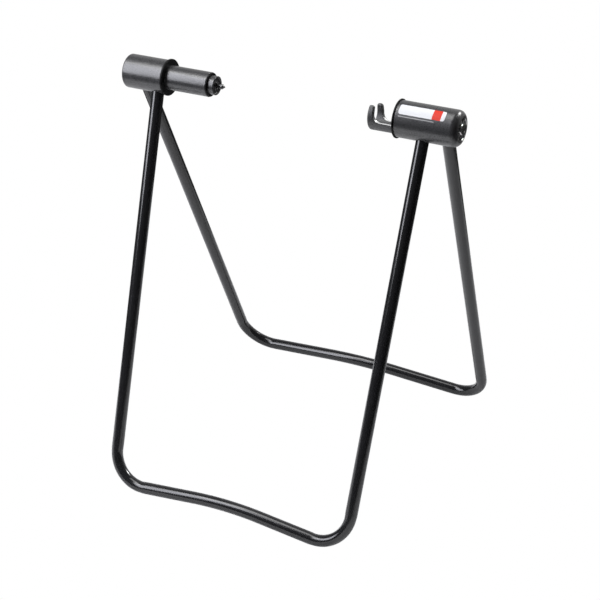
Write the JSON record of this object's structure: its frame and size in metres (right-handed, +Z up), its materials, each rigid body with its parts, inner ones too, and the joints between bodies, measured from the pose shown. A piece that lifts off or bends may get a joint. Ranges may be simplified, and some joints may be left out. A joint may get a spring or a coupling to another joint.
{
  "type": "bike repair stand",
  "caption": "Folding floor stand of nested U-shaped tube legs that holds a bicycle's rear hub between a sprung cup and an open hook",
  "frame": {"origin": "on the ground, midway between the front and rear feet and midway between the outer ends of the two end bolts", "axes": "+Z up, X along the axle line from the plunger side to the hook side, +Y towards the wide fixed rear legs"},
  "size_m": [0.38, 0.3642, 0.4462],
  "materials": {
    "gloss_paint": "gloss black paint on steel tube",
    "textured_coat": "satin black powder coat with a fine grain",
    "black_plastic": "matte black moulded plastic",
    "white_plastic": "natural slippery plastic",
    "dark_steel": "blackened turned steel",
    "spring_steel": "bright spring wire",
    "chrome": "bright plated steel"
  },
  "bodies": {
    "rear_frame": {"rear_leg_frame": "gloss_paint", "left_barrel": "textured_coat", "right_barrel": "textured_coat", "left_flange_bush": "black_plastic", "right_flange_bush": "black_plastic", "left_thrust_washer": "white_plastic", "right_thrust_washer": "white_plastic"},
    "front_frame": {"front_leg_frame": "gloss_paint", "guide_sleeve": "textured_coat", "sleeve_end_plug": "dark_steel", "left_retaining_washer": "chrome", "left_end_bolt": "chrome", "main_spring": "spring_steel", "hook_tube": "textured_coat", "hook_end_plug": "dark_steel", "right_retaining_washer": "chrome", "right_end_bolt": "chrome"},
    "plunger": {"plunger_tube": "textured_coat", "plunger_stop_collar": "dark_steel", "plunger_end_ring": "black_plastic", "hub_cup": "textured_coat", "spring_seat": "dark_steel", "pin_spring": "spring_steel"},
    "centring_pin": {"centre_pin": "dark_steel"}
  },
  "joints": [
    {"name": "leg_fold", "type": "hinge", "parent": "rear_frame", "child": "front_frame", "pos_m": [0, -0.03002, 0.42642], "axis": [1, 0, 0], "range_deg": [0, 45.23]},
    {"name": "plunger_slide", "type": "slide", "parent": "front_frame", "child": "plunger", "axis": [-1, 0, 0], "range_m": [0, 0.0135], "stiffness_N_per_m": 2500, "springref_m": -0.012, "deforming": ["main_spring"]},
    {"name": "pin_slide", "type": "slide", "parent": "plunger", "child": "centring_pin", "axis": [-1, 0, 0], "range_m": [0, 0.007], "stiffness_N_per_m": 400, "springref_m": -0.004, "deforming": ["pin_spring"]}
  ]
}
